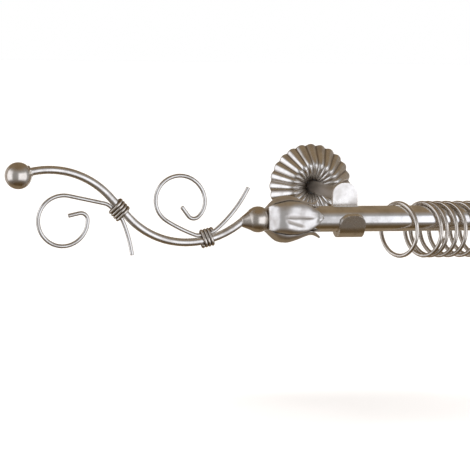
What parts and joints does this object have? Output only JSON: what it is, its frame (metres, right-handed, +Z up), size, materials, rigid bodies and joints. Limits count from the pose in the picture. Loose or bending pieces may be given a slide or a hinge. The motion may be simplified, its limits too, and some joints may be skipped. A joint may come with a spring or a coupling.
{
  "type": "curtain rod with brackets",
  "caption": "Round metal curtain rod in open J-hook wall brackets with fluted rosettes, scrolled wire finials at both ends and plain wire rings.",
  "frame": {"origin": "mid-span, on the wall plane, at the height of the bracket arms (centre of the four wall screws)", "axes": "+X along the rod, -Y out from the wall towards the room, +Z up"},
  "size_m": [1.4084, 0.1702, 0.0819],
  "materials": {
    "antique_silver": "satin antique silver, brown in the hollows",
    "plug_nylon": "black nylon",
    "plate_zinc": "zinc plated",
    "screw_zinc": "zinc plated"
  },
  "bodies": {
    "brackets": {"wall_plate_left": "plate_zinc", "wall_screws_left": "screw_zinc", "bracket_arm_left": "antique_silver", "rod_hook_left": "antique_silver", "wall_plate_right": "plate_zinc", "wall_screws_right": "screw_zinc", "bracket_arm_right": "antique_silver", "rod_hook_right": "antique_silver"},
    "rod": {"rod_tube": "antique_silver"},
    "rosette_left": {"rosette_left": "antique_silver"},
    "plug_left": {"tube_plug_left": "plug_nylon"},
    "finial_left": {"end_ball_left": "antique_silver", "stem_left": "antique_silver", "stud_left": "antique_silver", "lower_tendril_left": "antique_silver", "upper_tendril_left": "antique_silver", "outer_tie_left": "antique_silver", "inner_tie_left": "antique_silver", "nose_bead_left": "antique_silver", "calyx_left": "antique_silver"},
    "ring_left_1": {"ring_left_1": "antique_silver"},
    "ring_left_2": {"ring_left_2": "antique_silver"},
    "ring_left_3": {"ring_left_3": "antique_silver"},
    "ring_left_4": {"ring_left_4": "antique_silver"},
    "ring_left_5": {"ring_left_5": "antique_silver"},
    "ring_left_6": {"ring_left_6": "antique_silver"},
    "ring_left_7": {"ring_left_7": "antique_silver"},
    "ring_left_8": {"ring_left_8": "antique_silver"},
    "rosette_right": {"rosette_right": "antique_silver"},
    "plug_right": {"tube_plug_right": "plug_nylon"},
    "finial_right": {"end_ball_right": "antique_silver", "stem_right": "antique_silver", "stud_right": "antique_silver", "lower_tendril_right": "antique_silver", "upper_tendril_right": "antique_silver", "outer_tie_right": "antique_silver", "inner_tie_right": "antique_silver", "nose_bead_right": "antique_silver", "calyx_right": "antique_silver"},
    "ring_right_1": {"ring_right_1": "antique_silver"},
    "ring_right_2": {"ring_right_2": "antique_silver"},
    "ring_right_3": {"ring_right_3": "antique_silver"},
    "ring_right_4": {"ring_right_4": "antique_silver"},
    "ring_right_5": {"ring_right_5": "antique_silver"},
    "ring_right_6": {"ring_right_6": "antique_silver"},
    "ring_right_7": {"ring_right_7": "antique_silver"},
    "ring_right_8": {"ring_right_8": "antique_silver"}
  },
  "joints": [
    {"name": "rod_lift", "type": "slide", "parent": "brackets", "child": "rod", "axis": [0, 0, 1], "range_m": [0, 0.045]},
    {"name": "rosette_left_slide", "type": "slide", "parent": "brackets", "child": "rosette_left", "axis": [0, -1, 0], "range_m": [0, 0.045]},
    {"name": "plug_left_pull", "type": "slide", "parent": "rod", "child": "plug_left", "axis": [-1, 0, 0], "range_m": [0, 0.034]},
    {"name": "finial_left_turn", "type": "hinge", "parent": "plug_left", "child": "finial_left", "pos_m": [-0.5, -0.12, -0.016], "axis": [1, 0, 0], "continuous": true},
    {"name": "ring_left_1_run", "type": "slide", "parent": "rod", "child": "ring_left_1", "axis": [1, 0, 0], "range_m": [0, 0.022]},
    {"name": "ring_left_2_run", "type": "slide", "parent": "rod", "child": "ring_left_2", "axis": [1, 0, 0], "range_m": [0, 0.0524]},
    {"name": "ring_left_3_run", "type": "slide", "parent": "rod", "child": "ring_left_3", "axis": [1, 0, 0], "range_m": [0, 0.0978]},
    {"name": "ring_left_4_run", "type": "slide", "parent": "rod", "child": "ring_left_4", "axis": [1, 0, 0], "range_m": [0, 0.14]},
    {"name": "ring_left_5_run", "type": "slide", "parent": "rod", "child": "ring_left_5", "axis": [1, 0, 0], "range_m": [0, 0.1826]},
    {"name": "ring_left_6_run", "type": "slide", "parent": "rod", "child": "ring_left_6", "axis": [1, 0, 0], "range_m": [0, 0.223]},
    {"name": "ring_left_7_run", "type": "slide", "parent": "rod", "child": "ring_left_7", "axis": [1, 0, 0], "range_m": [0, 0.265]},
    {"name": "ring_left_8_run", "type": "slide", "parent": "rod", "child": "ring_left_8", "axis": [1, 0, 0], "range_m": [0, 0.307]},
    {"name": "rosette_right_slide", "type": "slide", "parent": "brackets", "child": "rosette_right", "axis": [0, -1, 0], "range_m": [0, 0.045]},
    {"name": "plug_right_pull", "type": "slide", "parent": "rod", "child": "plug_right", "axis": [1, 0, 0], "range_m": [0, 0.034]},
    {"name": "finial_right_turn", "type": "hinge", "parent": "plug_right", "child": "finial_right", "pos_m": [0.5, -0.12, -0.016], "axis": [1, 0, 0], "continuous": true},
    {"name": "ring_right_1_run", "type": "slide", "parent": "rod", "child": "ring_right_1", "axis": [-1, 0, 0], "range_m": [0, 0.022]},
    {"name": "ring_right_2_run", "type": "slide", "parent": "rod", "child": "ring_right_2", "axis": [-1, 0, 0], "range_m": [0, 0.0524]},
    {"name": "ring_right_3_run", "type": "slide", "parent": "rod", "child": "ring_right_3", "axis": [-1, 0, 0], "range_m": [0, 0.0978]},
    {"name": "ring_right_4_run", "type": "slide", "parent": "rod", "child": "ring_right_4", "axis": [-1, 0, 0], "range_m": [0, 0.14]},
    {"name": "ring_right_5_run", "type": "slide", "parent": "rod", "child": "ring_right_5", "axis": [-1, 0, 0], "range_m": [0, 0.1826]},
    {"name": "ring_right_6_run", "type": "slide", "parent": "rod", "child": "ring_right_6", "axis": [-1, 0, 0], "range_m": [0, 0.223]},
    {"name": "ring_right_7_run", "type": "slide", "parent": "rod", "child": "ring_right_7", "axis": [-1, 0, 0], "range_m": [0, 0.265]},
    {"name": "ring_right_8_run", "type": "slide", "parent": "rod", "child": "ring_right_8", "axis": [-1, 0, 0], "range_m": [0, 0.307]}
  ],
  "couplings": [
    {"joint": "ring_left_1_run", "follows": "ring_left_8_run", "ratio": 0.07166},
    {"joint": "ring_left_2_run", "follows": "ring_left_8_run", "ratio": 0.17068},
    {"joint": "ring_left_3_run", "follows": "ring_left_8_run", "ratio": 0.31856},
    {"joint": "ring_left_4_run", "follows": "ring_left_8_run", "ratio": 0.45602},
    {"joint": "ring_left_5_run", "follows": "ring_left_8_run", "ratio": 0.59478},
    {"joint": "ring_left_6_run", "follows": "ring_left_8_run", "ratio": 0.72638},
    {"joint": "ring_left_7_run", "follows": "ring_left_8_run", "ratio": 0.86319},
    {"joint": "ring_right_1_run", "follows": "ring_right_8_run", "ratio": 0.07166},
    {"joint": "ring_right_2_run", "follows": "ring_right_8_run", "ratio": 0.17068},
    {"joint": "ring_right_3_run", "follows": "ring_right_8_run", "ratio": 0.31856},
    {"joint": "ring_right_4_run", "follows": "ring_right_8_run", "ratio": 0.45602},
    {"joint": "ring_right_5_run", "follows": "ring_right_8_run", "ratio": 0.59478},
    {"joint": "ring_right_6_run", "follows": "ring_right_8_run", "ratio": 0.72638},
    {"joint": "ring_right_7_run", "follows": "ring_right_8_run", "ratio": 0.86319}
  ]
}
